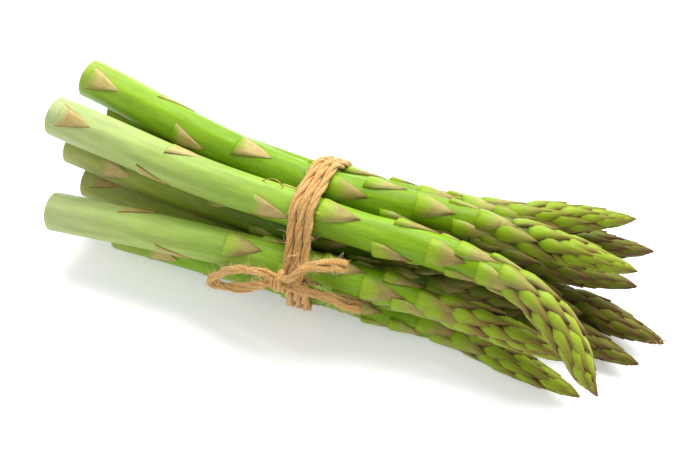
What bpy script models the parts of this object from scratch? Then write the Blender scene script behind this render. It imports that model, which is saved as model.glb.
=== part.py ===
"""A bundle of green asparagus lying on its side, tied round the middle with
three turns of jute twine and a small bow.  Cut ends at -X, tips at +X, +Z up,
metres.  Every spear is one closed body: a bent tapering stalk that ends in a
closed head of overlapping scales."""
import math

import bmesh
import bpy
import numpy as np
from mathutils import Matrix, Vector

MM = 0.001

# --- the spears ---------------------------------------------------------
SPEAR_SIDES = 12             # sides of the stalk's section
STATION = 0.0075             # spacing of the sections along a spear
CLEARANCE = 0.0006           # kept between neighbouring spears
BUTT_SWELL = 1.14            # cut end thickness over thickness at the tie
NECK_SHRINK = 0.90           # thickness just under the head, over the tie
HEAD_LENGTH = 0.058          # closed head of overlapping scales
HEAD_SWELL = 1.18            # widest part of the head, over the neck
HEAD_SHOULDER = 0.30         # part of the head before it narrows to the tip
TIP_RADIUS = 0.0014          # blunt end of the head
HEAD_FULLNESS = 3.4          # how late the head narrows
HEAD_RINGS = 9               # whorls of scales modelled in the head
SCALE_RELIEF = 0.07          # how far the head draws in between scales
GOLDEN_TURN = math.radians(137.5)    # from one whorl to the next
CUT_EDGE = 0.0005            # softened edge of the cut end

# --- where the bunch lies -----------------------------------------------
BUNCH_AT = (-0.0146, -0.0060, 0.0)   # puts the middle of its box at the origin

# --- the twine ----------------------------------------------------------
TWINE_D = 0.0031             # thickness of the jute twine
TURNS = 3                    # turns round the bunch
TURN_PITCH = 0.0032          # spacing of the turns along X
TIE_RADIUS = 0.0261          # the bunch at the tie, inside the twine
SLACK = 0.0005               # between the twine and the spears
TIE_HEIGHT = TIE_RADIUS + TWINE_D + SLACK
TIE_X = 0.0021               # middle of the turns along the bunch
WRAP_PULL = 0.0030           # how far the bow's side of them is dragged to +X
WRAP_POINTS = 44             # points of the twine in each turn
KNOT_ANGLE = math.radians(160)   # round the bunch, from +Y towards +Z
KNOT_X = 0.0009              # the knot sits on the turn nearest the cut ends
KNOT_SIZE = (0.0078, 0.0052, 0.0062)   # along X, outwards, round the bunch

# The bow, as routes of the twine's centre in millimetres.
LOOP_ROUTE = [(-3.8, -31.3, 38.3), (-8.3, -31, 37.2), (-13.7, -30.5, 35.6), (-17.9, -30.3, 33.2),
              (-22.5, -30.3, 29.3), (-26.4, -30.3, 24.9), (-27.8, -30.3, 21.9), (-25.8, -30.3, 20.2),
              (-21.6, -30.5, 21.8), (-16.9, -30.8, 24.2), (-11, -31, 27.7), (-3.6, -31.6, 33.5)]
UPPER_TAIL_ROUTE = [(5.3, -32.3, 40.3), (7.7, -30.5, 43.2), (10.6, -28, 44.4),
                    (14.6, -25.5, 44.4), (19, -23, 44), (23.2, -21, 43.1)]
LOWER_TAIL_ROUTE = [(5.3, -32.6, 36.9), (9, -32, 35.6), (13.8, -30.5, 34.3),
                    (18.4, -28.5, 31.7), (22.8, -26, 27.3), (29.2, -23.5, 24.4)]

# Shades of green the spears have, as seen, 0 to 255.
GREENS = {"bright": (118, 188, 40), "pale": (168, 208, 92), "deep": (104, 150, 42)}
JUTE = (205, 150, 88)

# One row per spear: shade, thickness at the tie, then the points of its
# centreline from the cut end to the tip, as (x, y, z) in millimetres.
SPEARS = [
    ("spear_01", "bright", 13.2, [(-100.5, 23, 51), (0, 8, 47), (62, 13, 46), (119, 17, 40)]),
    ("spear_02", "bright", 12.6, [(-92, 22, 36), (0, 18, 38), (62, 25, 38), (111, 46, 34)]),
    ("spear_03", "pale", 13.6, [(-104, 1, 50), (0, -8, 47), (58, -5, 46), (90, -8, 44),
                                (104, -14.5, 41), (112.5, -23.5, 32.5), (118.6, -29.5, 24)]),
    ("spear_04", "deep", 12.2, [(-99, 2, 36), (0, -3, 34), (62, 5, 31), (96, 6, 28)]),
    ("spear_05", "pale", 13.2, [(-97, -22, 23), (0, -19, 32), (62, -14, 27), (105, -15, 20)]),
    ("spear_06", "bright", 12.6, [(-76, -9, 7), (0, -15, 17), (62, -9, 7), (90, -14, 6),
                                  (112, -18.5, 5.5)]),
    ("spear_07", "deep", 12.2, [(-93, -1, 21), (0, -2, 20), (62, 6, 17), (103, 10, 15)]),
    ("spear_08", "deep", 12.2, [(-93, 6, 7), (0, 1, 10), (62, 10, 7), (128, 2, 7)]),
    ("spear_09", "deep", 12.6, [(-84, 12, 30), (0, 7, 31), (62, 17, 27), (119, 25, 22)]),
    ("spear_10", "deep", 12.2, [(-86, 23, 21), (0, 20, 25), (62, 31, 22), (120, 45, 20)]),
    ("spear_11", "deep", 12.2, [(-82, 20, 7), (0, 12, 14), (62, 23, 8), (134, 14, 8)]),
]


def radius_at(s, length, tie_s, tie_radius):
    """Radius of a spear at the distance s from its cut end."""
    head_s = length - HEAD_LENGTH
    butt_radius = tie_radius * BUTT_SWELL
    neck_radius = tie_radius * NECK_SHRINK
    if s < tie_s:
        return butt_radius + (tie_radius - butt_radius) * (s / tie_s)
    if s < head_s:
        along = (s - tie_s) / (head_s - tie_s)
        return tie_radius + (neck_radius - tie_radius) * along
    along = (s - head_s) / HEAD_LENGTH
    swell = neck_radius * (1 + (HEAD_SWELL - 1) * math.sin(math.pi * min(along / 0.7, 1.0)))
    if along < HEAD_SHOULDER:
        return swell
    fall = (along - HEAD_SHOULDER) / (1 - HEAD_SHOULDER)
    return TIP_RADIUS + (swell - TIP_RADIUS) * (1 - fall ** HEAD_FULLNESS)


def through(xs, values, x):
    """Smooth curve through the given points: cubic pieces, natural ends."""
    n = len(xs)
    slopes = np.zeros(n)
    for i in range(1, n - 1):
        left = (values[i] - values[i - 1]) / (xs[i] - xs[i - 1])
        right = (values[i + 1] - values[i]) / (xs[i + 1] - xs[i])
        wl = xs[i + 1] - xs[i]
        wr = xs[i] - xs[i - 1]
        slopes[i] = (left * wl + right * wr) / (wl + wr)
    slopes[0] = 1.5 * (values[1] - values[0]) / (xs[1] - xs[0]) - 0.5 * slopes[1]
    slopes[-1] = 1.5 * (values[-1] - values[-2]) / (xs[-1] - xs[-2]) - 0.5 * slopes[-2]
    i = int(np.clip(np.searchsorted(xs, x) - 1, 0, n - 2))
    h = xs[i + 1] - xs[i]
    t = (x - xs[i]) / h
    a = (1 + 2 * t) * (1 - t) ** 2
    b = t * (1 - t) ** 2
    c = t * t * (3 - 2 * t)
    d = t * t * (t - 1)
    return a * values[i] + b * h * slopes[i] + c * values[i + 1] + d * h * slopes[i + 1]


def wanted_line(row):
    """Centreline the row asks for: sections at multiples of the spacing, so
    that neighbouring spears have theirs side by side, and one at each end."""
    marks = row[3]
    marks = np.array(marks, dtype=float) * MM
    first = marks[0, 0]
    last = marks[-1, 0]
    grid = np.arange(-40, 41) * STATION
    inner = grid[(grid > first + 0.45 * STATION) & (grid < last - 0.45 * STATION)]
    x = np.concatenate([[first], inner, [last]])
    y = [through(marks[:, 0], marks[:, 1], v) for v in x]
    z = [through(marks[:, 0], marks[:, 2], v) for v in x]
    return np.array([x, y, z]).T


def lengths_along(line):
    steps = np.linalg.norm(np.diff(line, axis=0), axis=1)
    return np.concatenate([[0.0], np.cumsum(steps)])


def radii_of(line, tie_radius):
    s = lengths_along(line)
    tie_s = float(np.interp(0.0, line[:, 0], s))
    return np.array([radius_at(v, s[-1], tie_s, tie_radius) for v in s])


def smooth(shift):
    """Evens a sideways shift out along one spear."""
    out = shift.copy()
    for _ in range(6):
        padded = np.vstack([out[:1], out, out[-1:]])
        out = 0.25 * padded[:-2] + 0.5 * padded[1:-1] + 0.25 * padded[2:]
    return out


def settle(lines, radii, passes=90):
    """Pushes the spears sideways until none of them touch, they stay inside
    the twine at the tie, and none of them goes below the floor."""
    owner = np.concatenate([np.full(len(line), k) for k, line in enumerate(lines)])
    points = np.vstack(lines)
    radius = np.concatenate(radii)
    apart = owner[:, None] != owner[None, :]
    reach = radius[:, None] + radius[None, :] + CLEARANCE
    starts = np.cumsum([0] + [len(line) for line in lines])
    for n in range(passes):
        gap = points[:, None, :] - points[None, :, :]
        far = np.linalg.norm(gap, axis=2)
        short = np.where(apart & (far < reach), reach - far, 0.0)
        away = gap / np.maximum(far, 1e-6)[:, :, None]
        away[:, :, 0] = 0.0
        push = (away * short[:, :, None])
        count = np.maximum((short > 0).sum(axis=1), 1)
        move = push.sum(axis=1) / count[:, None] * 0.55
        near_tie = np.abs(points[:, 0]) < 0.009
        out = points[:, 1:] - np.array([0.0, TIE_HEIGHT])
        reach_out = np.linalg.norm(out, axis=1)
        over = np.maximum(reach_out + radius - TIE_RADIUS, 0.0) * near_tie
        move[:, 1:] -= out / np.maximum(reach_out, 1e-6)[:, None] * over[:, None] * 0.8
        move[:, 2] += np.maximum(radius + 0.0001 - points[:, 2], 0.0)
        for a, b in zip(starts[:-1], starts[1:]):
            if n < passes - 30:
                move[a:b] = 0.35 * move[a:b] + 0.65 * smooth(move[a:b]) * 1.6
        points = points + move
    return [points[a:b] for a, b in zip(starts[:-1], starts[1:])]


def ironed(line, strength=0.5, rounds=2):
    out = line.copy()
    for _ in range(rounds):
        mid = 0.5 * (out[:-2] + out[2:])
        out[1:-1, 1:] += strength * (mid[:, 1:] - out[1:-1, 1:])
    return out


def arrange():
    """Centrelines and radii of all the spears as they lie in the bunch."""
    lines = [wanted_line(row) for row in SPEARS]
    for _ in range(3):
        radii = [radii_of(line, row[2] * MM / 2) for line, row in zip(lines, SPEARS)]
        lines = settle(lines, radii)
        lines = [ironed(line) for line in lines]
    radii = [radii_of(line, row[2] * MM / 2) for line, row in zip(lines, SPEARS)]
    return settle(lines, radii, 60), radii


# --- geometry -----------------------------------------------------------
def material(name, colour, roughness):
    """A plain Principled finish; colour as seen, 0 to 255."""
    made = bpy.data.materials.new(name)
    made.use_nodes = True
    shader = made.node_tree.nodes["Principled BSDF"]
    linear = [((c / 255 + 0.055) / 1.055) ** 2.4 for c in colour]
    shader.inputs["Base Color"].default_value = (*linear, 1.0)
    shader.inputs["Roughness"].default_value = roughness
    shader.inputs["Metallic"].default_value = 0.0
    made.diffuse_color = (*linear, 1.0)
    return made


def directions(line):
    """Unit direction of a line at each of its points."""
    ahead = np.gradient(line, axis=0)
    return ahead / np.linalg.norm(ahead, axis=1)[:, None]


def section(bm, centre, ahead, side, radius, sides, lobes=0.0, turn=0.0):
    """One ring of vertices round a centreline; lobes pull three hollows in."""
    over = np.cross(ahead, side)
    ring = []
    for k in range(sides):
        angle = 2 * math.pi * k / sides
        drawn_in = lobes * (0.5 - 0.5 * math.cos(3 * (angle - turn)))
        out = side * math.cos(angle) + over * math.sin(angle)
        place = centre + out * (radius * (1 - drawn_in))
        ring.append(bm.verts.new(Vector(place)))
    return ring


def join_rings(bm, rings):
    for near, far in zip(rings[:-1], rings[1:]):
        sides = len(near)
        for k in range(sides):
            n = (k + 1) % sides
            bm.faces.new((near[k], near[n], far[n], far[k]))


def close_ring(bm, ring, outward):
    cap = bm.faces.new(ring)
    cap.normal_update()
    if cap.normal.dot(Vector(outward)) < 0:
        cap.normal_flip()


def body(name, bm, finish):
    """Turns the finished mesh into a named object with outward faces."""
    bmesh.ops.recalc_face_normals(bm, faces=bm.faces[:])
    bmesh.ops.triangulate(bm, faces=bm.faces[:])
    mesh = bpy.data.meshes.new(name)
    bm.to_mesh(mesh)
    bm.free()
    made = bpy.data.objects.new(name, mesh)
    mesh.materials.append(finish)
    bpy.context.collection.objects.link(made)
    return made


def spear(name, line, tie_radius, finish):
    """A stalk that tapers from its cut end to a closed head of scales."""
    s = lengths_along(line)
    end = s[-1]
    tie_s = float(np.interp(0.0, line[:, 0], s))
    head_s = end - HEAD_LENGTH
    stations = [0.0, CUT_EDGE]
    stations += [v for v in s[1:-1] if v < head_s]
    stations += list(np.linspace(head_s, end - 0.009, HEAD_RINGS))
    stations += [end - 0.0055, end - 0.0025, end]
    ahead_all = directions(line)
    side = np.array([0.0, 1.0, 0.0])
    bm = bmesh.new()
    rings = []
    for n, v in enumerate(stations):
        centre = np.array([np.interp(v, s, line[:, a]) for a in range(3)])
        ahead = np.array([np.interp(v, s, ahead_all[:, a]) for a in range(3)])
        ahead /= np.linalg.norm(ahead)
        side = side - ahead * side.dot(ahead)
        side /= np.linalg.norm(side)
        radius = radius_at(v, end, tie_s, tie_radius)
        if v == 0.0:
            radius -= CUT_EDGE
        in_head = head_s < v < end - 0.004
        lobes = SCALE_RELIEF if in_head else 0.0
        rings.append(section(bm, centre, ahead, side, radius, SPEAR_SIDES, lobes, n * GOLDEN_TURN))
    join_rings(bm, rings)
    close_ring(bm, rings[0], -ahead_all[0])
    close_ring(bm, rings[-1], ahead_all[-1])
    return body(name, bm, finish)


def twine(name, points, finish):
    """A length of twine: a round tube along the given points, ends closed."""
    curve = bpy.data.curves.new(name, "CURVE")
    curve.dimensions = "3D"
    curve.bevel_depth = TWINE_D / 2
    curve.bevel_resolution = 2
    curve.use_fill_caps = True
    spline = curve.splines.new("POLY")
    spline.points.add(len(points) - 1)
    for place, point in zip(spline.points, points):
        place.co = (*point, 1.0)
    made = bpy.data.objects.new(name, curve)
    curve.materials.append(finish)
    bpy.context.collection.objects.link(made)
    return made


def sections_at(lines, radii, x):
    """Where the spears cross the plane at x: y, z and radius of each."""
    return np.array([[np.interp(x, line[:, 0], value)
                      for value in (line[:, 1], line[:, 2], radius)]
                     for line, radius in zip(lines, radii)])


def round_the_bunch(spears, angle, out):
    """Point facing that way on a loop pulled tight round the spears; out is
    how far it stands off them."""
    way = np.array([math.cos(angle), math.sin(angle)])
    outermost = np.argmax(spears[:, :2] @ way + spears[:, 2])
    return spears[outermost, :2] + way * (spears[outermost, 2] + out)


def wrap_line(spears):
    """The turns round the bunch, from under the knot round to it again.  Each
    steps over to the next under the knot."""
    angles = KNOT_ANGLE - np.linspace(0, 2 * math.pi * TURNS, 90 * TURNS + 1)
    ring = np.array([round_the_bunch(spears, a, SLACK + TWINE_D / 2) for a in angles])
    s = lengths_along(ring)
    turns = np.linspace(0.05, TURNS - 0.05, WRAP_POINTS * TURNS)
    even = s[-1] * turns / TURNS
    y = np.interp(even, s, ring[:, 0])
    z = np.interp(even, s, ring[:, 1])
    step = sum(np.clip((turns - k) / 0.08 + 0.5, 0, 1) for k in range(1, TURNS))
    pulled = WRAP_PULL * np.clip((-y - 0.012) / 0.015, 0, 1)
    x = TIE_X + (step - (TURNS - 1) / 2) * TURN_PITCH + pulled
    return np.array([x, y, z]).T


def smooth_route(marks, count):
    """Evenly spaced points on one smooth curve through the marks, in mm."""
    marks = np.array(marks, dtype=float) * MM
    steps = np.linalg.norm(np.diff(marks, axis=0), axis=1)
    at = np.concatenate([[0.0], np.cumsum(steps)])
    fine = np.linspace(0.0, at[-1], 200)
    dense = np.array([[through(at, marks[:, a], v) for a in range(3)] for v in fine])
    s = lengths_along(dense)
    even = np.linspace(0.0, s[-1], count)
    return [[np.interp(v, s, dense[:, a]) for a in range(3)] for v in even]


def knot(spears, finish):
    """The tightened knot: a squashed ball seated on the turns."""
    bm = bmesh.new()
    bmesh.ops.create_uvsphere(bm, u_segments=14, v_segments=9, radius=1.0)
    bmesh.ops.scale(bm, vec=Vector(KNOT_SIZE) / 2, verts=bm.verts[:])
    turn = Matrix.Rotation(KNOT_ANGLE - math.pi, 4, "X")
    bmesh.ops.transform(bm, matrix=turn, verts=bm.verts[:])
    out = SLACK + TWINE_D + 0.0004 + KNOT_SIZE[1] / 2
    y, z = round_the_bunch(spears, KNOT_ANGLE, out)
    bmesh.ops.translate(bm, vec=Vector((KNOT_X, y, z)), verts=bm.verts[:])
    return body("twine_knot", bm, finish)


def build():
    for old in list(bpy.data.objects):
        bpy.data.objects.remove(old, do_unlink=True)
    greens = {shade: material(shade + "_green", colour, 0.42) for shade, colour in GREENS.items()}
    jute = material("jute_twine", JUTE, 0.85)
    lines, radii = arrange()
    pieces = []
    for (name, shade, thickness, marks), line in zip(SPEARS, lines):
        pieces.append(spear(name, line, thickness * MM / 2, greens[shade]))
    spears = sections_at(lines, radii, TIE_X)
    pieces.append(twine("twine_wraps", wrap_line(spears), jute))
    pieces.append(knot(spears, jute))
    pieces.append(twine("twine_loop", smooth_route(LOOP_ROUTE, 18), jute))
    pieces.append(twine("twine_tail_upper", smooth_route(UPPER_TAIL_ROUTE, 7), jute))
    pieces.append(twine("twine_tail_lower", smooth_route(LOWER_TAIL_ROUTE, 7), jute))
    bunch = bpy.data.objects.new("bunch", None)
    bunch.location = BUNCH_AT
    bpy.context.collection.objects.link(bunch)
    for piece in pieces:
        piece.parent = bunch


build()
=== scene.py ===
"""Looks of a bundle of green asparagus tied with jute twine, built on its CAD.

Every spear is modelled straight, along +X from its cut end: a turned stalk, and
scale leaves copied from one pattern and wrapped round it.  Then it is bent along
the line of its CAD node.  The twine is laid up from twisted plies with loose
fibres.  Metres unless a name or comment says millimetres; the cut ends are at
-X, the tips at +X, and +Z is up.
"""

import math

import bpy
import numpy as np
from mathutils import Matrix, Vector


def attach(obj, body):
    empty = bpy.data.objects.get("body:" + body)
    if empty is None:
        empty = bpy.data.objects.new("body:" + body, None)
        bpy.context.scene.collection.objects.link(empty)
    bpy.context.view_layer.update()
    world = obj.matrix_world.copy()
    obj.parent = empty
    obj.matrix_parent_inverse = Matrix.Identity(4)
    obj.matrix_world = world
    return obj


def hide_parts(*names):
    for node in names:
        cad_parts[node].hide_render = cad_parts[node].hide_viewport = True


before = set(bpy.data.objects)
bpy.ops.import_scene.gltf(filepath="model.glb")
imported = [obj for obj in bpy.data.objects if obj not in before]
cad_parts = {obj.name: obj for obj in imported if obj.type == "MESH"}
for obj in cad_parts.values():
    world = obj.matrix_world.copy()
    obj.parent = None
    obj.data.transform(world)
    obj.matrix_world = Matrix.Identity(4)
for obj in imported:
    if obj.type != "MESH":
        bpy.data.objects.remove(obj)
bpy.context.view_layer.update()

MM = 0.001
BUNCH = Vector((-0.0146, -0.0060, 0.0))     # the tie's place in the frame
BENCH_GAP = 0.0001                          # under whatever rests on the bench
PRESS_ZONE = 0.002                          # how far below it a pressed piece keeps some shape

# How each spear grew, and its colour: the shade of its skin, where the darkest is
# a darker green partly painted as shade, for the spears that lie low in the bunch,
# which way its spiral of leaves winds, degrees from one leaf to the next, degrees
# at the tip, and how widely the leaves are spaced, where 1 is as in LEAF_GROWTH.
SPEARS = {
    "spear_01": ("bright", -1, 137.5, 28, 0.84),
    "spear_02": ("bright", 1, 138.0, 104, 1.17),
    "spear_03": ("pale", 1, 138.0, 100, 1.00),
    "spear_04": ("deep", 1, 137.5, 220, 0.95),
    "spear_05": ("pale", -1, 137.5, 228, 1.05),
    "spear_06": ("bright", 1, 138.5, 92, 1.15),
    "spear_07": ("deep", 1, 137.5, 40, 1.00),
    "spear_08": ("deep", -1, 137.5, 170, 1.05),
    "spear_09": ("deep", 1, 137.5, 285, 0.95),
    "spear_10": ("deep", -1, 137.5, 95, 0.90),
    "spear_11": ("deep", 1, 137.5, 220, 1.00),
}
# Millimetres from the tip to the leaf of that number.  Numbers 0 to 7 stay shut
# inside the tip and aren't built.
LEAF_NUMBERS = (8, 13, 18, 21, 26, 29, 34, 37, 42, 47, 50, 52, 55, 58, 60, 63, 65, 68, 71)
LEAF_GROWTH = (4.5, 10.0, 15.5, 19.0, 24.6, 28.0, 33.8, 37.2, 45.8, 55.5, 63, 70.5,
               84, 103, 122, 150, 178, 226, 270)
# Leaves that grew a little out of the spiral: millimetres from the tip and
# degrees round the spear, from +Y towards +Z.
STRAYS = {
    "spear_01": [(28.6, 90), (36.2, 135), (40.4, 87), (43.4, 186), (51.5, 138), (59.4, 96),
                 (67.3, 177), (82.1, 114), (114.9, 126), (152.9, 96), (177.3, 165), (218.2, 123)],
    "spear_02": [(41.7, 42), (48.2, 105), (58.1, 42), (81.5, 87), (110.7, 39)],
    "spear_03": [(62.6, 156), (72.3, 81), (82.2, 135), (102.1, 192), (124.4, 102),
                 (148.5, 162), (186, 62), (230.5, 119)],
    "spear_05": [(25.1, 119), (28.5, 59), (33.1, 147), (38.0, 96), (43.9, 177), (57.7, 126),
                 (71.3, 63), (130.4, 114), (174, 52)],
    "spear_06": [(25.5, 119), (32.5, 144), (40.1, 171), (51.6, 153), (65.6, 123), (76, 196),
                 (174, 165)],
    "spear_04": [(163.9, 150), (179.2, 147)],
}
THREADED = "spear_11"     # its tip has dried threads
# Heads that swell more than the rest behind their tips, and by what share.
PLUMP = {"spear_11": 0.20, "spear_08": 0.15, "spear_10": 0.10, "spear_09": 0.08, "spear_01": 0.04}
# Where the rows of points lie along a scale leaf, closest at its raised base,
# and where they lie on the even grid it is made from.
LEAF_ROWS = (0.0, 0.05, 0.15, 0.30, 0.48, 0.66, 0.84, 1.0)
LEAF_STEPS = len(LEAF_ROWS) - 1
LEAF_ROWS_FLAT = [n / LEAF_STEPS for n in range(LEAF_STEPS + 1)]
LEAF_STRIPS = 4           # faces across a leaf
LEAF_UNDERSIDE = -0.05    # on the flat pattern, whatever is lower than this
STALK_SIDES = 40
STALK_RADIUS_MM = 6.5     # what the skin's pattern takes every stalk's radius to be
CUT_REACH_MM = 1.3        # how far along the stalk its cut face goes
CUT_RIM = 0.965           # and how far out, as a share of the stalk's radius
SECTION_GAP = 0.003       # between the sections read off a spear's CAD node
LINE_GAP = 0.004          # between the points of a spear's middle line
ROUND_OUT = 1.02          # makes up for the flats between a section's corners
DEPTH = 0.60              # how far the plant's finishes are taken down for the strong light
JUTE_DEPTH = 0.86         # and the twine's
FIBRE_DEPTH = 0.85        # and its loose fibres'


# ---------------------------------------------------------------- helpers
def smoothstep(low, high, x):
    t = np.clip((np.asarray(x, float) - low) / (high - low), 0.0, 1.0)
    return t * t * (3 - 2 * t)


def deselect():
    for item in bpy.context.selected_objects:
        item.select_set(False)


def rest_on_bench(piece):
    """Presses flat whatever would reach through the bench."""
    co = places(piece.data)
    trace = 0.05 * np.clip(co[:, 2] + PRESS_ZONE, 0, PRESS_ZONE)
    co[:, 2] = np.maximum(co[:, 2], BENCH_GAP + trace)
    put_places(piece.data, co)


def work_on(piece):
    deselect()
    piece.select_set(True)
    bpy.context.view_layer.objects.active = piece


def add_object(name, data):
    made = bpy.data.objects.new(name, data)
    bpy.context.scene.collection.objects.link(made)
    return made


def join(name, objects):
    work_on(objects[0])
    for item in objects:
        item.select_set(True)
    if len(objects) > 1:
        bpy.ops.object.join()
    made = bpy.context.active_object
    made.name = name
    made.data.name = name
    return made


def places(mesh):
    co = np.zeros(len(mesh.vertices) * 3)
    mesh.vertices.foreach_get("co", co)
    return co.reshape(-1, 3)


def put_places(mesh, co):
    mesh.vertices.foreach_set("co", np.asarray(co, float).ravel())
    mesh.update()


def mark(mesh, name, values):
    """Stores one number per point for the materials to read."""
    layer = mesh.attributes.get(name) or mesh.attributes.new(name, "FLOAT", "POINT")
    values = np.broadcast_to(np.asarray(values, float), (len(mesh.vertices),))
    layer.data.foreach_set("value", np.ascontiguousarray(values))


def linear(colour, depth):
    """A colour as seen, 0 to 255, in the scene's linear light, taken down for
    the strong light it lies in."""
    parts = [c / 255 for c in colour]
    parts = [((c + 0.055) / 1.055) ** 2.4 if c > 0.04045 else c / 12.92 for c in parts]
    return tuple(depth * c for c in parts) + (1.0,)


def length_along(line):
    return np.concatenate([[0], np.cumsum(np.linalg.norm(np.diff(line, axis=0), axis=1))])


def points_at(line, s, wanted):
    """Places on a line at the wanted lengths, where s is each point's own."""
    return np.stack([np.interp(wanted, s, line[:, axis]) for axis in range(3)], 1)


def even_out(values, times):
    """Draws every value but the first and last towards its neighbours."""
    for _ in range(times):
        values[1:-1] = 0.25 * values[:-2] + 0.5 * values[1:-1] + 0.25 * values[2:]


# ---------------------------------------------------------------- centrelines
def slice_at(co, edges, x):
    """Where a node's edges cross the plane at x, as (y, z)."""
    a = co[edges[:, 0]]
    b = co[edges[:, 1]]
    crossing = (a[:, 0] - x) * (b[:, 0] - x) < 0
    a = a[crossing]
    b = b[crossing]
    share = ((x - a[:, 0]) / (b[:, 0] - a[:, 0]))[:, None]
    return (a + (b - a) * share)[:, 1:]


def node_shape(node):
    """A CAD node's points and the pairs of them that its edges join."""
    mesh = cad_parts[node].data
    return places(mesh), np.array([e.vertices[:] for e in mesh.edges])


def section_at(co, edges, x):
    """Middle (y, z) and radius of a node where it crosses the plane at x."""
    points = slice_at(co, edges, x)
    middle = 0.5 * (points.min(0) + points.max(0))
    return middle, ROUND_OUT * np.linalg.norm(points - middle, axis=1).mean()


def centreline(node):
    """Points along the middle of a spear's CAD node, evenly spaced: the length
    along it, place and radius at each of them."""
    co, edges = node_shape(node)
    low = co[:, 0].min() + 0.004
    high = co[:, 0].max() - 0.002
    line = []
    radii = []
    for x in np.arange(low, high, SECTION_GAP):
        middle, radius = section_at(co, edges, x)
        line.append((x, *middle))
        radii.append(radius)
    line = np.array(line)
    back = (line[0] - line[2]) / np.linalg.norm(line[0] - line[2])
    ahead = (line[-1] - line[-3]) / np.linalg.norm(line[-1] - line[-3])
    start = line[0] + back * ((co - line[0]) @ back).max()
    end = line[-1] + ahead * ((co - line[-1]) @ ahead).max()
    line = np.vstack([start, line, end])
    radii = np.array([radii[0]] + radii + [radii[-1] * 0.6])
    even_out(line[:, 1:], 3)
    even_out(radii, 3)
    s = length_along(line)
    even = np.linspace(0, s[-1], int(s[-1] / LINE_GAP) + 1)
    return even, points_at(line, s, even), np.interp(even, s, radii)


def guide_curve(name, line):
    """The curve a straight spear is bent along; its top stays uppermost."""
    data = bpy.data.curves.new(name, "CURVE")
    data.dimensions = "3D"
    data.twist_mode = "Z_UP"
    spline = data.splines.new("POLY")
    spline.points.add(len(line) - 1)
    for point, place in zip(spline.points, line):
        point.co = (*place, 1.0)
    return add_object(name, data)


def bend_along(piece, guide):
    work_on(piece)
    bpy.ops.object.modifier_add(type="CURVE")
    piece.modifiers[-1].object = guide
    piece.modifiers[-1].deform_axis = "POS_X"
    bpy.ops.object.modifier_apply(modifier=piece.modifiers[-1].name)


# ---------------------------------------------------------------- the stalk
class Straight:
    """Sizes of one spear before it is bent, and its own random draws."""

    def __init__(self, along, radii, seed, plump):
        self.plump = plump
        self.along = along
        self.length = along[-1]
        self.outer = radii
        self.random = np.random.default_rng(seed)

    def outside(self, s):
        """Radius of the CAD node there, fuller behind the tip where PLUMP says."""
        to_tip = self.length - np.asarray(s, float)
        fuller = 1 + self.plump * np.exp(-((to_tip - 0.019) / 0.012) ** 2)
        return np.interp(s, self.along, self.outer) * fuller

    def skin(self, s):
        """Radius over the leaves, drawn out to a point past the CAD's end."""
        to_tip = self.length - np.asarray(s, float)
        body = self.outside(np.minimum(s, self.length))
        point = np.interp(to_tip, [-0.0014, 0.0, 0.002, 0.005], [0.00025, 0.0009, 0.0019, 0.0030])
        return np.where(to_tip < 0.005, np.minimum(body, point), body)

    def core(self, s):
        """Radius of the stalk itself, thinner inside the head's leaves."""
        to_tip = self.length - np.asarray(s, float)
        slim = 0.31 * (1 - smoothstep(0.038, 0.085, to_tip)) + 0.01
        return np.maximum(self.skin(s) * (1 - slim), 0.0002)


def turned_stalk(name, spear):
    """The stalk, spun from its outline round the X axis."""
    stations = [0.0004, 0.0010, 0.0020]
    stations += list(np.linspace(0.004, spear.length - 0.012, 70))
    stations += [spear.length - 0.009, spear.length - 0.006, spear.length - 0.004]
    outline = [(0.0012, 0.0), (0.0011, 0.0025), (0.0003, spear.core(0.0) - 0.0012)]
    outline.append((0.0, spear.core(0.0) - 0.0005))
    outline += [(s, float(spear.core(s))) for s in stations]
    outline.append((spear.length - 0.0025, 0.0))
    mesh = bpy.data.meshes.new(name)
    points = [(x, 0.0, r) for x, r in outline]
    mesh.from_pydata(points, [(k, k + 1) for k in range(len(points) - 1)], [])
    stalk = add_object(name, mesh)
    work_on(stalk)
    bpy.ops.object.mode_set(mode="EDIT")
    bpy.ops.mesh.select_all(action="SELECT")
    bpy.ops.mesh.spin(steps=STALK_SIDES, angle=2 * math.pi, center=(0, 0, 0), axis=(1, 0, 0))
    bpy.ops.mesh.select_all(action="SELECT")
    bpy.ops.mesh.remove_doubles(threshold=0.00002)
    bpy.ops.mesh.normals_make_consistent(inside=False)
    bpy.ops.object.mode_set(mode="OBJECT")
    return stalk


def dress_stalk(stalk, spear, leaves):
    """Grown unevenness, faint ribs and a swelling under each leaf, and the
    numbers that its finish reads."""
    co = places(stalk.data)
    around = np.arctan2(co[:, 2], co[:, 1])
    radius = np.hypot(co[:, 1], co[:, 2])
    s = co[:, 0]
    phase = spear.random.uniform(0, 6.28, 4)
    ribs = 0.010 * np.sin(9 * around + phase[0] + 6 * np.sin(s * 30))
    ribs += 0.008 * np.sin(5 * around + phase[1] - 9 * s)
    ribs += 0.010 * np.sin(2 * around + phase[2] + s * 25)
    side = smoothstep(0.0, 0.004, s)
    swell = np.zeros(len(co))
    for leaf in leaves:
        turned = np.angle(np.exp(1j * (around - leaf["turn"])))
        near = np.exp(-((s - leaf["s"] + 0.0005) / 0.0045) ** 2) * np.exp(-(turned / 0.55) ** 2)
        swell = np.maximum(swell, near * leaf["swell"])
    grown = radius * (1 + ribs * side) + swell * side
    co[:, 1] = grown * np.cos(around)
    co[:, 2] = grown * np.sin(around)
    put_places(stalk.data, co)
    mark(stalk.data, "share", s / spear.length)
    mark(stalk.data, "length_mm", s / MM)
    mark(stalk.data, "round_mm", around * STALK_RADIUS_MM)
    mark(stalk.data, "cut_radius", radius / spear.core(0.0))
    mark(stalk.data, "head", 1 - smoothstep(0.034, 0.062, spear.length - s))


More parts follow.
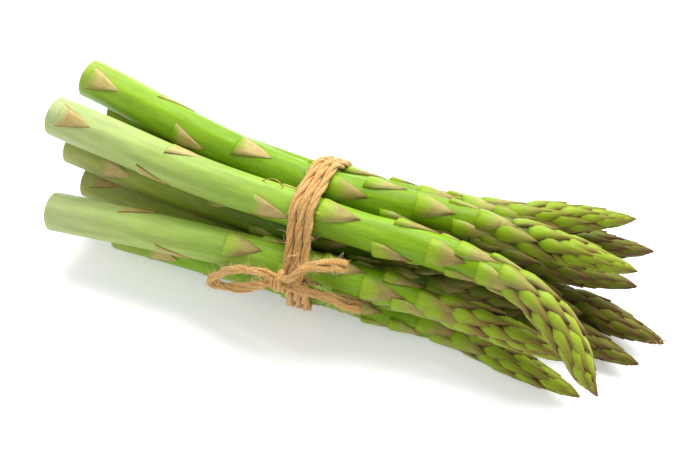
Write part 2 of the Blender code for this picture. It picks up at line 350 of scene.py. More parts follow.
# ---------------------------------------------------------------- leaves
def leaf_pattern():
    """One scale leaf as a flat closed slab: u along it, v across it."""
    deselect()
    bpy.ops.mesh.primitive_grid_add(
        x_subdivisions=LEAF_STEPS, y_subdivisions=LEAF_STRIPS, size=1, location=(0.5, 0, 0)
    )
    leaf = bpy.context.active_object
    bpy.ops.object.transform_apply(location=True, rotation=False, scale=False)
    bpy.ops.object.modifier_add(type="SOLIDIFY")
    leaf.modifiers[-1].thickness = 0.1
    leaf.modifiers[-1].offset = -1
    bpy.ops.object.modifier_apply(modifier=leaf.modifiers[-1].name)
    leaf.name = "leaf_pattern"
    return leaf


def leaf_places(name, spear):
    """The spiral of leaves from the tip down, close in the head and further
    and further apart towards the cut end."""
    _, hand, step, start, spread = SPEARS[name]
    numbers = np.arange(LEAF_NUMBERS[0], LEAF_NUMBERS[-1])
    to_tip = np.interp(numbers, LEAF_NUMBERS, LEAF_GROWTH) * spread
    gap = np.gradient(to_tip)
    turn = start + hand * step * numbers + spear.random.uniform(-5, 5, len(numbers))
    to_tip = to_tip + gap * spear.random.uniform(-0.12, 0.12, len(numbers))
    for far, angle in STRAYS.get(name, ()):
        off = (turn - angle + 180) % 360 - 180
        nearest = np.argmin(((to_tip - far) / (1 + 0.35 * gap + 0.02 * far)) ** 2 + (off / 14) ** 2)
        to_tip[nearest] = far
        turn[nearest] = angle
    return [one_leaf(spear, far * MM, math.radians(angle))
            for far, angle in zip(to_tip, turn) if far * MM < spear.length - 0.0015]


def one_leaf(spear, to_tip, turn):
    """Size and lie of the leaf that grows that far from the tip."""
    wobble = spear.random.uniform(-1, 1, 6)
    length = np.interp(to_tip, [0.020, 0.035, 0.060, 0.120, 0.160],
                       [0.0145, 0.0160, 0.0165, 0.0160, 0.0140])
    width = np.interp(to_tip, [0, 0.006, 0.014, 0.025, 0.040, 0.060, 0.110],
                      [0.0030, 0.0052, 0.0074, 0.0088, 0.0097, 0.0103, 0.0106])
    length *= 1 + 0.06 * wobble[0]
    width *= 1 + 0.08 * wobble[1]
    in_head = 1 - float(smoothstep(0.040, 0.066, to_tip))
    return {
        "s": spear.length - to_tip,
        "turn": turn,
        "length": min(length, to_tip + 0.0011 + 0.0004 * wobble[0]),
        "width": width,
        "flush": float(smoothstep(0.124, 0.150, to_tip)),
        "in_head": in_head,
        "lean": 0.08 * wobble[3],
        "lift": 1 + 0.20 * wobble[4],
        "tone": 0.5 + 0.5 * wobble[5],
        "swell": 0.0005 * (1 - in_head) * (1 - float(smoothstep(0.110, 0.130, to_tip))),
    }


def outline_of(u, flush):
    """Half width of a leaf along its length: an arched shield, or on the low
    leaves a plain triangle."""
    shield = (0.90 + 0.10 * np.sin(math.pi * np.clip(u / 0.5, 0, 1))) * (1 - u ** 1.7) ** 0.95
    triangle = (1 - u) ** 0.85
    return np.maximum(shield * (1 - flush) + triangle * flush, 0.02)


def wrap_leaf(flat, u, spear, leaf):
    """Lays the flat pattern round the stalk: places of its points.  Leaves
    stand out from a collar below the head, lie shut in it, and lie pressed
    against the stalk near the cut end."""
    v = flat[:, 1] * 2
    under = flat[:, 2] < LEAF_UNDERSIDE
    flush = leaf["flush"]
    head = leaf["in_head"]
    s = leaf["s"] + u * leaf["length"]
    core = spear.core(s)
    skin = spear.skin(s)
    rise = smoothstep(-0.03, 0.08, u)
    collar = 0.00190 * rise * (1 - 0.80 * u)
    sheath = skin * (0.04 + 0.30 * u ** 0.75)
    pressed = 0.00022 + 0.00022 * rise * (1 - u)
    crown = collar * (1 - head) * (1 - flush) + sheath * head + pressed * flush
    plump = 0.11 * skin * np.exp(-((u - 0.32) / 0.22) ** 2) * head * rise
    keel = (0.00050 * (1 - flush) * (1 - head) + 0.00006 * flush + 0.20 * skin * head) * rise
    top = crown * leaf["lift"] + plump - keel * v * v
    thin = np.minimum(0.00034 - 0.00016 * flush, 0.12 * skin + 0.00006)
    sunk = (1 - smoothstep(0.20, 0.60, u)) * (np.maximum(top, 0) + 0.0006)
    height = np.where(under, top - thin - sunk, top)
    half = 0.5 * leaf["width"] * outline_of(u, flush)
    reach = np.maximum(core + top, 0.0009)
    turned = leaf["turn"] + (v * half + leaf["lean"] * leaf["length"] * u * u * 0.5) / reach
    out = np.maximum(core + height, 0.00005)
    return np.stack([s, out * np.cos(turned), out * np.sin(turned)], 1)


def leaf_set(name, pattern, spear, leaves):
    """All the leaves of one spear: copies of the pattern, wrapped and joined."""
    flat = places(pattern.data)
    along = np.interp(flat[:, 0], LEAF_ROWS_FLAT, LEAF_ROWS)
    copies = []
    for leaf in leaves:
        mesh = pattern.data.copy()
        put_places(mesh, wrap_leaf(flat, along, spear, leaf))
        mark(mesh, "u", along)
        mark(mesh, "v", np.abs(flat[:, 1] * 2))
        mark(mesh, "side_mm", flat[:, 1] * leaf["width"] / MM)
        mark(mesh, "length_mm", (leaf["s"] + along * leaf["length"]) / MM)
        mark(mesh, "share", leaf["s"] / spear.length)
        mark(mesh, "tone", leaf["tone"])
        mark(mesh, "flush", leaf["flush"])
        mark(mesh, "head", leaf["in_head"])
        copies.append(add_object(name, mesh))
    return join(name, copies)


# ---------------------------------------------------------------- materials
SOCKETS = {
    "specular": "Specular IOR Level",
    "under_skin": "Subsurface Weight",
    "under_skin_reach": "Subsurface Radius",
    "sheen": "Sheen Weight",
    "sheen_roughness": "Sheen Roughness",
    "glow": "Emission Color",
    "glow_strength": "Emission Strength",
}


class Finish:
    """A material's node tree with short ways to add to it."""

    def __init__(self, name, depth=DEPTH):
        self.depth = depth
        self.material = bpy.data.materials.new(name)
        self.material.use_nodes = True
        self.tree = self.material.node_tree
        self.shader = self.tree.nodes["Principled BSDF"]

    def node(self, kind, **settings):
        made = self.tree.nodes.new(kind)
        for key, value in settings.items():
            setattr(made, key, value)
        return made

    def link(self, out, into):
        self.tree.links.new(out, into)

    def read(self, name):
        return self.node("ShaderNodeAttribute", attribute_name=name).outputs["Fac"]

    def fill(self, sockets, items):
        """Gives each socket its number, or the link that brings it."""
        for socket, item in zip(sockets, items):
            if isinstance(item, (int, float)):
                socket.default_value = item
            elif isinstance(item, tuple):
                socket.default_value = linear(item, self.depth)
            else:
                self.link(item, socket)

    def value(self, operation, a, b):
        made = self.node("ShaderNodeMath", operation=operation)
        self.fill(made.inputs, (a, b))
        return made.outputs[0]

    def ease(self, item, low, high, to_low=0.0, to_high=1.0):
        made = self.node("ShaderNodeMapRange", interpolation_type="SMOOTHSTEP")
        self.link(item, made.inputs["Value"])
        made.inputs["From Min"].default_value = low
        made.inputs["From Max"].default_value = high
        made.inputs["To Min"].default_value = to_low
        made.inputs["To Max"].default_value = to_high
        return made.outputs["Result"]

    def times(self, a, b):
        return self.value("MULTIPLY", a, b)

    def plus(self, a, b):
        return self.value("ADD", a, b)

    def minus(self, a, b):
        return self.value("SUBTRACT", a, b)

    def mix(self, factor, a, b, blend="MIX"):
        made = self.node("ShaderNodeMix", data_type="RGBA", blend_type=blend)
        self.fill((made.inputs[0], made.inputs[6], made.inputs[7]), (factor, a, b))
        return made.outputs[2]

    def tinted(self, colour, amount):
        """The colour made lighter or darker by a number near 1."""
        grey = self.node("ShaderNodeCombineColor")
        for socket in grey.inputs:
            self.link(amount, socket)
        return self.mix(1.0, colour, grey.outputs[0], "MULTIPLY")

    def grid(self, x, y, z=0.0):
        made = self.node("ShaderNodeCombineXYZ")
        self.fill(made.inputs, (x, y, z))
        return made.outputs[0]

    def noise(self, place, scale, detail=3.0, roughness=0.55):
        made = self.node("ShaderNodeTexNoise")
        self.link(place, made.inputs["Vector"])
        made.inputs["Scale"].default_value = scale
        made.inputs["Detail"].default_value = detail
        made.inputs["Roughness"].default_value = roughness
        return made.outputs["Fac"]

    def ramp(self, item, stops):
        made = self.node("ShaderNodeValToRGB")
        self.link(item, made.inputs[0])
        elements = made.color_ramp.elements
        while len(elements) < len(stops):
            elements.new(0.5)
        for element, (at, colour) in zip(elements, stops):
            element.position = at
            element.color = linear(colour, self.depth)
        return made.outputs[0]

    def surface(self, colour, roughness, **fixed):
        """Joins up the colour and the roughness, and sets what is the same all
        over on the shader's own sockets."""
        self.link(colour, self.shader.inputs["Base Color"])
        self.fill([self.shader.inputs["Roughness"]], [roughness])
        for name, number in fixed.items():
            self.shader.inputs[SOCKETS[name]].default_value = number

    def bump(self, height, strength, distance):
        made = self.node("ShaderNodeBump")
        made.inputs["Strength"].default_value = strength
        made.inputs["Distance"].default_value = distance
        self.link(height, made.inputs["Height"])
        self.link(made.outputs[0], self.shader.inputs["Normal"])


# Each shade's green from the cut end, 0, to the tip, 1.  The darkest is taken
# down further as painted shade, for the spears that lie low in the bunch.
SKIN = {
    "bright": [(0.0, (186, 214, 84)), (0.12, (158, 206, 40)), (0.35, (140, 190, 12)),
               (0.70, (138, 178, 14)), (1.0, (152, 168, 16))],
    "pale": [(0.0, (210, 228, 156)), (0.20, (196, 222, 118)), (0.45, (162, 208, 52)),
             (0.70, (142, 188, 16)), (1.0, (154, 176, 20))],
    "deep": [(0.0, (206, 212, 120)), (0.20, (168, 188, 66)), (0.45, (104, 142, 14)),
             (0.75, (78, 112, 4)), (1.0, (96, 104, 14))],
}


def skin_colour(finish, shade, share, long_mm, round_mm):
    """The stalk's green, paler to the cut end and streaked along its length,
    and the fine streaks on their own."""
    green = finish.ramp(share, SKIN[shade])
    fine = finish.noise(finish.grid(finish.times(long_mm, 0.05), round_mm), 2.4, 4.0)
    broad = finish.noise(finish.grid(finish.times(long_mm, 0.10), round_mm, 7.0), 0.35, 3.0)
    streak = finish.ease(fine, 0.30, 0.72, 0.93, 1.06)
    patch = finish.ease(broad, 0.32, 0.70, 0.86, 1.12)
    return finish.tinted(green, finish.times(streak, patch)), fine


def stalk_skin(shade):
    """The stalk: streaked green with a pale bloom, and painted shade down inside the head, under its
    leaves.
    """
    finish = Finish("stalk_skin_" + shade)
    share = finish.read("share")
    long_mm = finish.read("length_mm")
    round_mm = finish.read("round_mm")
    green, fine = skin_colour(finish, shade, share, long_mm, round_mm)
    bloom = finish.noise(finish.grid(finish.times(long_mm, 0.3), round_mm, 3.0), 0.8, 2.0)
    pale = finish.ease(bloom, 0.50, 0.80, 0.0, 0.22)
    green = finish.mix(pale, green, (214, 228, 120))
    # painted shade: the stalk taken dark where the head's leaves cover it
    green = finish.mix(finish.times(finish.read("head"), 0.85), green, (44, 50, 8))
    finish.surface(green, finish.ease(fine, 0.3, 0.7, 0.46, 0.34), specular=0.16,
                   under_skin=0.05, under_skin_reach=(0.0012, 0.0016, 0.0004))
    finish.bump(fine, 0.16, 0.0003)
    return finish.material


def cut_face():
    """The cut end: pale moist flesh with darker threads and a green rim."""
    finish = Finish("cut_face")
    radius = finish.read("cut_radius")
    place = finish.node("ShaderNodeTexCoord").outputs["Object"]
    threads = finish.node("ShaderNodeTexVoronoi")
    finish.link(place, threads.inputs["Vector"])
    threads.inputs["Scale"].default_value = 900
    dots = finish.ease(threads.outputs["Distance"], 0.10, 0.34, 1.0, 0.0)
    flesh = finish.mix(finish.noise(place, 500), (214, 218, 160), (190, 200, 128))
    flesh = finish.mix(finish.times(dots, 0.55), flesh, (140, 156, 78))
    rim = finish.ease(radius, 0.80, 0.98)
    flesh = finish.mix(rim, flesh, (128, 166, 62))
    finish.surface(flesh, 0.38, under_skin=0.15, under_skin_reach=(0.0015, 0.002, 0.0008))
    finish.bump(dots, 0.5, 0.0003)
    return finish.material


# The clear green of a leaf's shoulder on each shade of spear; the darkest
# spears' is darker in part as painted shade.
LIME = {"bright": (180, 214, 40), "pale": (190, 216, 60), "deep": (150, 160, 36)}
# The head's olive and purple-brown in each shade of spear, and how much shows;
# the darkest spears' are darker in part as painted shade.
DUSK = {
    "bright": (0.80, (150, 134, 54), (136, 96, 60)),
    "pale": (0.95, (164, 146, 66), (150, 108, 70)),
    "deep": (1.00, (126, 102, 40), (112, 74, 52)),
}


def leaf_skin(shade):
    """Scale leaves: lime where they swell from the stalk and papery olive-tan
    towards their tips; low down dry and flat with a thin brown rim; in the
    head green with dusky edges, and painted shade in the creases between them."""
    finish = Finish("leaf_skin_" + shade)
    u = finish.read("u")
    v = finish.read("v")
    tone = finish.read("tone")
    flush = finish.read("flush")
    head = finish.read("head")
    long_mm = finish.read("length_mm")
    side_mm = finish.read("side_mm")
    share = finish.read("share")
    veins = finish.noise(finish.grid(finish.times(long_mm, 0.10), side_mm, tone), 2.6, 3.0)
    cloud = finish.noise(finish.grid(long_mm, side_mm, finish.times(tone, 50.0)), 0.28, 2.0)
    green = finish.ramp(share, SKIN[shade])
    lime = finish.mix(finish.minus(0.55, finish.times(flush, 0.5)), green, LIME[shade])
    # how far out from the leaf's root: along it, further at its sides, clouded
    soft = finish.plus(u, finish.times(finish.minus(cloud, 0.5), 0.16))
    out = finish.plus(soft, finish.times(finish.times(v, v), 0.16))
    # the open leaves below the head
    papery = finish.mix(tone, (206, 196, 112), (180, 162, 88))
    papery = finish.mix(finish.ease(cloud, 0.42, 0.75, 0.0, 0.5), papery, (160, 128, 80))
    open_leaf = finish.mix(finish.ease(out, 0.18, 0.62), lime, papery)
    open_leaf = finish.mix(finish.ease(out, 0.66, 1.10, 0.0, 0.85), open_leaf, (120, 88, 46))
    # the dry flat ones near the cut end
    dry = finish.mix(tone, (232, 212, 136), (212, 186, 112))
    dry = finish.mix(finish.ease(cloud, 0.40, 0.75, 0.0, 0.45), dry, (196, 152, 96))
    dry = finish.mix(finish.ease(out, 0.02, 0.36), lime, dry)
    # the ones in the head
    amount, olive, purple = DUSK[shade]
    side = finish.times(finish.ease(v, 0.30, 0.95), 0.35)
    dusk = finish.times(finish.ease(finish.plus(out, side), 0.24, 0.92), amount)
    head_leaf = finish.mix(dusk, lime, finish.mix(tone, olive, purple))
    colour = finish.mix(head, finish.mix(flush, open_leaf, dry), head_leaf)
    # a pale edge on the open ones, painted shade in the creases of the head, a brown rim low down
    edge = finish.times(finish.ease(v, 0.80, 0.98), finish.ease(u, 0.10, 0.35))
    edge = finish.times(edge, finish.minus(0.75, finish.times(tone, 0.5)))
    edge = finish.times(edge, finish.minus(1.0, head))
    colour = finish.mix(edge, colour, (216, 214, 140))
    # painted shade along the edges of the head's leaves, in the creases between them
    crease_shade = finish.times(finish.ease(v, 0.66, 1.0), finish.times(head, 0.9))
    colour = finish.mix(crease_shade, colour, (52, 44, 10))
    rim = finish.times(finish.ease(v, 0.88, 1.0), finish.times(flush, 0.8))
    colour = finish.mix(rim, colour, (150, 108, 48))
    # veins, and the shade at the roots of the head's leaves
    root = finish.ease(u, 0.0, 0.16, 0.55, 1.0)
    shaded = finish.plus(finish.times(head, root), finish.minus(1.0, head))
    colour = finish.tinted(colour, finish.times(finish.ease(veins, 0.3, 0.7, 0.86, 1.10), shaded))
    finish.surface(colour, finish.ease(out, 0.2, 0.7, 0.42, 0.60), specular=0.16,
                   under_skin=0.04, under_skin_reach=(0.001, 0.0012, 0.0004))
    finish.bump(veins, 0.30, 0.0003)
    return finish.material


def jute():
    """Jute ply: tan fibres twisted along it, with painted shade down in the lay."""
    finish = Finish("jute", JUTE_DEPTH)
    along = finish.read("along_mm")
    around = finish.read("around_mm")
    depth = finish.read("depth")
    slant = finish.plus(around, finish.times(along, 0.55))
    place = finish.grid(finish.times(along, 0.16), slant)
    strands = finish.noise(place, 5.0, 5.0, 0.70)
    lumps = finish.noise(finish.grid(along, slant, 4.0), 0.30, 2.0)
    colour = finish.ramp(strands, [(0.34, (140, 84, 26)), (0.44, (214, 152, 66)),
                                   (0.54, (250, 202, 114)), (0.66, (255, 240, 184))])
    colour = finish.mix(finish.ease(lumps, 0.35, 0.7, 0.0, 0.35), colour, (224, 146, 66))
    # painted shade on each ply's side that faces the twine's middle, down in the lay
    colour = finish.mix(finish.ease(depth, 0.35, 1.0, 0.0, 0.75), colour, (146, 84, 30))
    finish.surface(colour, 0.85, specular=0.25, sheen=0.25, sheen_roughness=0.5)
    finish.bump(strands, 1.0, 0.0006)
    return finish.material


def thin_threads(name, depth, light, dark):
    """Threads too thin for a grain: each is its own tone between two colours."""
    finish = Finish(name, depth)
    finish.surface(finish.mix(finish.read("tone"), light, dark), 0.7)
    return finish.material


def bench():
    """The pale floor; it glows a little, so that shadows on it stay pale."""
    finish = Finish("pale_bench")
    place = finish.node("ShaderNodeTexCoord").outputs["Object"]
    cloud = finish.ease(finish.noise(place, 6.0), 0.2, 0.8, 0.93, 0.95)
    finish.surface(cloud, 0.6, glow=(0.94, 0.95, 1.0, 1.0), glow_strength=0.32)
    return finish.material


# ---------------------------------------------------------------- twine
TWINE_D = 0.0031
PLY_SIDES = 12
TURNS = 3
WRAP_ENDS = 0.012         # what the wraps leave out at each end, in turns
WRAP_POINTS = 560
PITCH = 0.0032            # from one turn to the next
SLACK = 0.0005            # between the twine and the spears
TIE_X = 0.0021            # the middle turn, from the tie's place
WRAP_PULL = 0.0030        # how far the knot draws the turns towards the tips
KNOT_TURN = math.radians(160)     # which way the knot faces, from +Y towards +Z
KNOT_X = 0.0009
KNOT_OUT = 0.0030         # the middle of the knot, from the outside of the turns
KNOT_D = 0.0029           # the twine pulled tight in the knot
ROUTE_GAP = 0.0009        # between the points of the bow's lines
OPEN_END = 0.020          # how far back from a cut end the plies have come apart
# Millimetres from the tie's place: the loop from the knot and back to it, and
# the tails from the knot to their ends.
LOOP_ROUTE = [(-3.8, -31.3, 38.3), (-8.3, -31, 37.2), (-13.7, -30.5, 35.6), (-17.9, -30.3, 33.2),
              (-22.5, -30.3, 29.3), (-26.4, -30.3, 24.9), (-27.8, -30.3, 21.9), (-25.8, -30.3, 20.2),
              (-21.6, -30.5, 21.8), (-16.9, -30.8, 24.2), (-11, -31, 27.7), (-3.6, -31.6, 33.5)]
UPPER_TAIL_ROUTE = [(5.3, -32.3, 40.3), (7.7, -30.5, 43.2), (10.6, -28, 44.4),
                    (14.6, -25.5, 44.4), (19, -23, 44), (23.2, -21, 43.1)]
LOWER_TAIL_ROUTE = [(5.3, -32.6, 36.9), (9, -32, 35.6), (13.8, -30.5, 34.3),
                    (18.4, -28.5, 31.7), (22.8, -26, 27.3), (29.2, -23.5, 24.4)]
# Strands that have slipped out of the twine: one under the loop, a small arch
# over the knot, and a long fibre beside the turns.
LOOP_STRAND = [(-26.3, -30.6, 25.5), (-22.8, -30.9, 22.4), (-18.5, -31.2, 22.1),
               (-14.3, -31.4, 24.0), (-8.0, -31.7, 28.6), (-3.7, -32.0, 33.2), (-0.2, -31.8, 36.6)]
LOOSE_PLY = [(3.0, -31.0, 42.2), (3.3, -29.0, 47.3), (5.8, -27.0, 48.4), (6.8, -27.0, 45.7),
             (7.5, -29.6, 44.0)]
LONG_FIBRE = [(-19.4, -4.0, 54.6), (-16.9, -4.0, 54.8), (-12.9, -4.0, 57.6), (-10.2, -4.0, 57.2),
              (-8.1, -4.0, 53.9), (-7.1, -4.0, 50.4)]


def smooth_line(marks, spacing):
    """Evenly spaced points on one smooth curve through the marks."""
    marks = np.asarray(marks, float)
    ends = np.vstack([2 * marks[0] - marks[1], marks, 2 * marks[-1] - marks[-2]])
    dense = []
    for a, b, c, d in zip(ends[:-3], ends[1:-2], ends[2:-1], ends[3:]):
        for t in np.linspace(0, 1, 24, endpoint=False):
            dense.append(0.5 * (2 * b + (c - a) * t + (2 * a - 5 * b + 4 * c - d) * t * t
                                + (3 * b - 3 * c + d - a) * t ** 3))
    dense.append(marks[-1])
    dense = np.array(dense)
    s = length_along(dense)
    even = np.linspace(0, s[-1], max(4, int(round(s[-1] / spacing)) + 1))
    return points_at(dense, s, even)


def frames(line):
    """Direction and two sideways directions at each point, turning least."""
    ahead = np.gradient(line, axis=0)
    ahead /= np.linalg.norm(ahead, axis=1)[:, None]
    side = np.cross(ahead[0], (0.3, 0.5, 0.8))
    sides = []
    for direction in ahead:
        side = side - direction * side.dot(direction)
        side = side / np.linalg.norm(side)
        sides.append(side)
    sides = np.array(sides)
    return ahead, sides, np.cross(ahead, sides)


def tube(name, line, radii, sides=8, core=None, rough=None):
    """A round rod along a line, with closed ends; depth runs to 1 where it
    faces core, the middle of the twine it is laid up in."""
    _, side, over = frames(line)
    s = length_along(line)
    turns = 2 * math.pi * np.arange(sides) / sides
    ring = (side[:, None, :] * np.cos(turns)[None, :, None]
            + over[:, None, :] * np.sin(turns)[None, :, None])
    radii = np.broadcast_to(np.asarray(radii, float), (len(line),))
    uneven = np.ones((len(line), sides)) if rough is None else rough
    co = (line[:, None, :] + ring * (radii[:, None] * uneven)[:, :, None]).reshape(-1, 3)
    faces = []
    for n in range(len(line) - 1):
        for k in range(sides):
            m = (k + 1) % sides
            faces.append((n * sides + k, n * sides + m, (n + 1) * sides + m, (n + 1) * sides + k))
    faces.append(tuple(range(sides))[::-1])
    faces.append(tuple((len(line) - 1) * sides + k for k in range(sides)))
    mesh = bpy.data.meshes.new(name)
    mesh.from_pydata([tuple(p) for p in co], [], faces)
    mark(mesh, "along_mm", np.repeat(s, sides) / MM)
    mark(mesh, "around_mm", np.tile(turns, len(line)) * float(radii.mean()) / MM)
    if core is None:
        mark(mesh, "depth", 0.0)
    else:
        # depth sets where the jute's painted shade in the lay goes
        inward = core - line
        inward /= np.maximum(np.linalg.norm(inward, axis=1), 1e-9)[:, None]
        facing = np.einsum("nkc,nc->nk", ring, inward)
        mark(mesh, "depth", np.clip(0.5 + 0.5 * facing, 0, 1).ravel())
    return add_object(name, mesh)


def laid_up(name, line, plies=3, diameter=TWINE_D, lay=0.026, seed=1, open_end=0.0):
    """Twine laid up from plies that twist round each other, one turn in each
    lay's length; open_end is how far from its end the plies have come apart."""
    random = np.random.default_rng(seed)
    _, side, over = frames(line)
    s = length_along(line)
    start = random.uniform(0, 6.28)
    made = []
    spread = smoothstep(s[-1] - open_end, s[-1], s) if open_end else np.zeros(len(s))
    marks = max(8, int(s[-1] / 0.006))
    marks_at = np.linspace(0, s[-1], marks)
    for k in range(plies):
        wander = np.interp(s, marks_at, random.uniform(-1, 1, marks))
        thick = np.interp(s, marks_at, random.uniform(-1, 1, marks))
        turn = start + 2 * math.pi * (s / lay * (1 - 0.35 * spread) + k / plies) + 0.35 * wander
        radius = diameter * 0.285 * (1 + 0.14 * thick + 0.50 * spread)
        off = diameter * 0.235 * (1 + 0.14 * wander + 0.95 * spread)
        centre = line + off[:, None] * (side * np.cos(turn)[:, None] + over * np.sin(turn)[:, None])
        rough = random.uniform(-1, 1, (len(line), PLY_SIDES))
        rough = 1 + 0.13 * (rough + np.roll(rough, 1, 0) + np.roll(rough, 2, 0)) / 1.7
        made.append(tube(name + "_ply", centre, radius, PLY_SIDES, core=line, rough=rough))
    return join(name, made)


def fibres(name, line, count, seed, bias=1.0, reach=(0.0015, 0.0050),
           off=TWINE_D / 2, thick=0.00008):
    """Loose fibres that stand out round a line, fine and curling.  A bias under
    1 crowds them to its end; off is how far from the line they start."""
    random = np.random.default_rng(seed)
    ahead, side, over = frames(line)
    made = []
    for _ in range(count):
        n = int((len(line) - 1) * random.uniform() ** bias)
        turn = random.uniform(0, 2 * math.pi)
        out = side[n] * math.cos(turn) + over[n] * math.sin(turn)
        lean = ahead[n] * random.uniform(-1.0, 1.0) + out * random.uniform(0.10, 0.8)
        lean /= np.linalg.norm(lean)
        curl = np.cross(lean, random.normal(size=3))
        curl /= np.linalg.norm(curl)
        length = random.uniform(*reach) * random.uniform(0.4, 1.0)
        t = np.linspace(0, 1, 6)[:, None]
        hair = line[n] + out * off * 0.9 + lean * length * t + curl * length * 0.4 * t * t
        made.append(tube(name + "_hair", hair, thick * (1 - 0.6 * t[:, 0]), sides=3))
        mark(made[-1].data, "tone", random.uniform(0, 1))
    return join(name, made)


def finish_piece(piece, slot, *materials, replaces=()):
    """Smooth shading, its finishes, and its place on the bunch."""
    rest_on_bench(piece)
    piece.data.materials.clear()
    for material in materials:
        piece.data.materials.append(material)
    piece.data.shade_smooth()
    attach(piece, "root")
    if replaces:
        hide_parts(*replaces)


# ---------------------------------------------------------------- making it
def make_spears():
    pattern = leaf_pattern()
    skins = {shade: stalk_skin(shade) for shade in SKIN}
    leaf_skins = {shade: leaf_skin(shade) for shade in SKIN}
    cut = cut_face()
    for number, (node, (shade, *_)) in enumerate(SPEARS.items()):
        along, line, radii = centreline(node)
        spear = Straight(along, radii, 40 + number, PLUMP.get(node, 0.0))
        leaves = leaf_places(node, spear)
        stalk = turned_stalk(node + "_stalk", spear)
        dress_stalk(stalk, spear, leaves)
        scales = leaf_set(node + "_leaves", pattern, spear, leaves)
        guide = guide_curve(node + "_guide", line)
        bend_along(stalk, guide)
        bend_along(scales, guide)
        bpy.data.objects.remove(guide)
        finish_piece(stalk, "spear_green", skins[shade], cut, replaces=(node,))
        finish_piece(scales, "spear_green", leaf_skins[shade])
        if node == THREADED:
            dried_threads(node, line)
        finish_cut_end(stalk.data)
    bpy.data.objects.remove(pattern)


def dried_threads(node, line):
    """The dried threads that curl out of one head's tip."""
    way = (line[-1] - line[-2]) / np.linalg.norm(line[-1] - line[-2])
    tip = np.linspace(line[-1] - 0.0030 * way, line[-1] + 0.0006 * way, 12)
    threads = fibres(node + "_threads", tip, 34, seed=31, bias=0.6, reach=(0.0050, 0.0095),
                     off=0.0012, thick=0.00015)
    dry = thin_threads("dry_thread", DEPTH, (232, 208, 140), (170, 134, 72))
    finish_piece(threads, "spear_green", dry)


def finish_cut_end(mesh):
    """Gives the faces of the cut end their own finish, the stalk's second."""
    along = mesh.attributes["length_mm"].data
    out = mesh.attributes["cut_radius"].data
    for face in mesh.polygons:
        if all(along[v].value < CUT_REACH_MM and out[v].value < CUT_RIM for v in face.vertices):
            face.material_index = 1


def sections_at(x):
    """Where the spears cross the plane at x: y, z and radius of each."""
    found = []
    for node in SPEARS:
        middle, radius = section_at(*node_shape(node), x)
        found.append((*middle, radius))
    return np.array(found)


def round_the_bunch(spears, angle, out):
    """The point (y, z) facing that way on a loop pulled round the spears, that
    far outside them."""
    way = np.array([math.cos(angle), math.sin(angle)])
    outermost = np.argmax(spears[:, :2] @ way + spears[:, 2])
    return spears[outermost, :2] + way * (spears[outermost, 2] + out)


def wrap_line(spears):
    """The turns round the bunch, each stepping to the next under the knot."""
    angles = KNOT_TURN - np.linspace(0, 2 * math.pi * TURNS, 90 * TURNS + 1)
    ring = np.array([round_the_bunch(spears, a, SLACK + TWINE_D / 2) for a in angles])
    s = length_along(ring)
    turns = np.linspace(WRAP_ENDS, TURNS - WRAP_ENDS, WRAP_POINTS)
    even = s[-1] * turns / TURNS
    y = np.interp(even, s, ring[:, 0])
    z = np.interp(even, s, ring[:, 1])
    step = sum(np.clip((turns - k) / 0.08 + 0.5, 0, 1) for k in range(1, TURNS))
    pulled = WRAP_PULL * np.clip((-(y - BUNCH.y) - 0.012) / 0.015, 0, 1)
    x = BUNCH.x + TIE_X + (step - (TURNS - 1) / 2) * PITCH + pulled
    line = np.stack([x, y, z], 1)
    even_out(line, 4)
    return line


def make_twine():
    spears = sections_at(BUNCH.x + TIE_X)
    twine = jute()
    fluff = thin_threads("jute_fibre", FIBRE_DEPTH, (255, 234, 180), (240, 184, 110))
    wraps = wrap_line(spears)
    piece = laid_up("twine_wraps_laid", wraps, seed=3)
    finish_piece(piece, "jute_twine", twine, replaces=("twine_wraps",))
    finish_piece(fibres("twine_wraps_fibres", wraps, 640, seed=4), "jute_twine", fluff)
    return spears, twine, fluff


def knot_line(middle):
    """The turn that closes the bow: a little over once round, oval, and moving
    on towards the tips as it goes."""
    outward = np.array([0, math.cos(KNOT_TURN), math.sin(KNOT_TURN)])
    around = np.array([0, -outward[2], outward[1]])
    line = []
    for turn in np.linspace(-0.1, 1.35, 80):
        angle = 2 * math.pi * turn
        line.append(middle + outward * 0.0025 * math.cos(angle) + around * 0.0031 * math.sin(angle)
                    + np.array([0.0024 * (turn - 0.55), 0, 0]))
    return np.array(line)


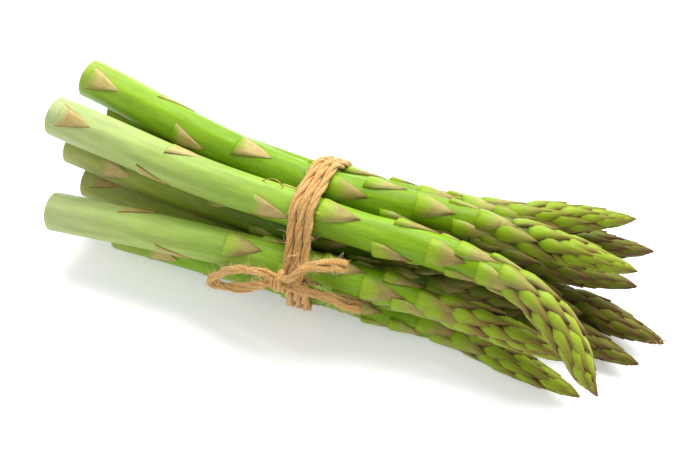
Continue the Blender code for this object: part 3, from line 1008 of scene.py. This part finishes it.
def make_bow(spears, twine, fluff):
    shift = np.array(BUNCH)

    def route(marks):
        return smooth_line(np.array(marks) * MM + shift, ROUTE_GAP)

    seat = round_the_bunch(spears, KNOT_TURN, SLACK + TWINE_D + KNOT_OUT)
    middle = np.array([BUNCH.x + KNOT_X, *seat])
    knot = laid_up("twine_knot_laid", knot_line(middle), diameter=KNOT_D, seed=8)
    finish_piece(knot, "jute_twine", twine, replaces=("twine_knot",))
    inside = (middle - shift) / MM
    loop_marks = [tuple(inside + (1.5, 0, 0.7))] + LOOP_ROUTE + [tuple(inside + (1.5, 0, -0.9))]
    upper_marks = [tuple(inside + (-1.5, 0, 0.8))] + UPPER_TAIL_ROUTE
    lower_marks = [tuple(inside + (-1.5, 0, -0.8))] + LOWER_TAIL_ROUTE
    for name, marks, node, seed, end in (
        ("twine_loop_laid", loop_marks, "twine_loop", 11, 0.0),
        ("twine_tail_upper_laid", upper_marks, "twine_tail_upper", 12, OPEN_END),
        ("twine_tail_lower_laid", lower_marks, "twine_tail_lower", 13, OPEN_END),
    ):
        line = route(marks)
        piece = laid_up(name, line, seed=seed, open_end=end)
        finish_piece(piece, "jute_twine", twine, replaces=(node,))
        loose = fibres(name + "_fibres", line, 300, seed=seed + 20, bias=0.45 if end else 1.0)
        finish_piece(loose, "jute_twine", fluff)
    strands = [
        laid_up("loose_strand", route(LOOP_STRAND), plies=2, diameter=0.0022, seed=15),
        laid_up("loose_ply", route(LOOSE_PLY), plies=2, diameter=0.0007, lay=0.008, seed=16),
        laid_up("long_fibre", route(LONG_FIBRE), plies=2, diameter=0.0004, lay=0.008, seed=17),
    ]
    finish_piece(join("twine_loose_strands", strands), "jute_twine", twine)


# ---------------------------------------------------------------- studio
ROOM_LIGHT = 0.46
# The key light from high behind, and a faint one from the front left: place,
# width and watts.
LIGHTS = {
    "softbox_back": ((0.10, 0.66, 0.92), 1.3, 34.0),
    "softbox_front": ((-0.55, -0.75, 0.80), 0.9, 3.0),
}
VIEW_TURN = math.radians(21.5)    # the camera's place round the bunch, from -Y towards +X
VIEW_RISE = math.radians(50.0)    # and over it
VIEW_FAR = 0.69                   # from the tie, whose middle is this high:
TIE_HEIGHT = 0.0298
VIEW_RIGHT = 0.01494              # how far the camera is moved sideways
VIEW_DOWN = 0.00112               # and down, to frame the bunch


def studio():
    deselect()
    bpy.ops.mesh.primitive_plane_add(size=6.0, location=(0, 0, 0))
    floor = bpy.context.active_object
    floor.name = "floor"
    floor.data.materials.append(bench())
    world = bpy.data.worlds.new("soft_room")
    world.use_nodes = True
    world.node_tree.nodes["Background"].inputs[0].default_value = (1.0, 1.0, 1.0, 1.0)
    world.node_tree.nodes["Background"].inputs[1].default_value = ROOM_LIGHT
    bpy.context.scene.world = world
    for name, (place, width, watts) in LIGHTS.items():
        data = bpy.data.lights.new(name, "AREA")
        data.size = width
        data.energy = watts
        lamp = add_object(name, data)
        lamp.location = place
        lamp.rotation_euler = (-Vector(place)).to_track_quat("-Z", "Y").to_euler()
    bpy.context.scene.view_settings.view_transform = "Standard"


def camera():
    """Looks down on the bunch from its front right, with a long lens."""
    level = math.cos(VIEW_RISE)
    back = Vector((math.sin(VIEW_TURN) * level, -math.cos(VIEW_TURN) * level, math.sin(VIEW_RISE)))
    right = Vector((math.cos(VIEW_TURN), math.sin(VIEW_TURN), 0))
    up = back.cross(right)
    data = bpy.data.cameras.new("camera")
    data.lens = 95
    data.sensor_width = 36
    eye = add_object("camera", data)
    tie = BUNCH + Vector((0, 0, TIE_HEIGHT))
    place = tie + back * VIEW_FAR + right * VIEW_RIGHT - up * VIEW_DOWN
    turned = Matrix((right, up, back)).transposed().to_4x4()
    eye.matrix_world = Matrix.Translation(place) @ turned
    bpy.context.scene.camera = eye


camera()
make_spears()
make_bow(*make_twine())
studio()
bpy.context.view_layer.update()
